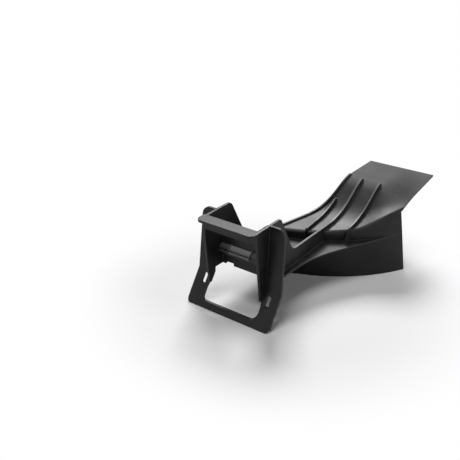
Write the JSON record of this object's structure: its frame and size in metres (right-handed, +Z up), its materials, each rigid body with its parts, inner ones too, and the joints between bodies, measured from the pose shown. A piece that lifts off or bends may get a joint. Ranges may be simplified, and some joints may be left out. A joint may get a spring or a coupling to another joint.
{
  "type": "mower mulching plug",
  "caption": "Moulded plastic plug that closes a rotary mower's rear chute for mulching: foot frame with grip handle, open tray, curved skirt and ribbed S-curved roof.",
  "frame": {"origin": "middle of the foot's flat bottom face, on the surface that the plug stands on", "axes": "+X to the right seen from the handle, +Y from the foot towards the deck, +Z up"},
  "size_m": [0.2142, 0.39, 0.1453],
  "materials": {
    "black_plastic": "satin with a fine grain"
  },
  "bodies": {
    "root": {"mulching_plug": "black_plastic"}
  },
  "joints": []
}
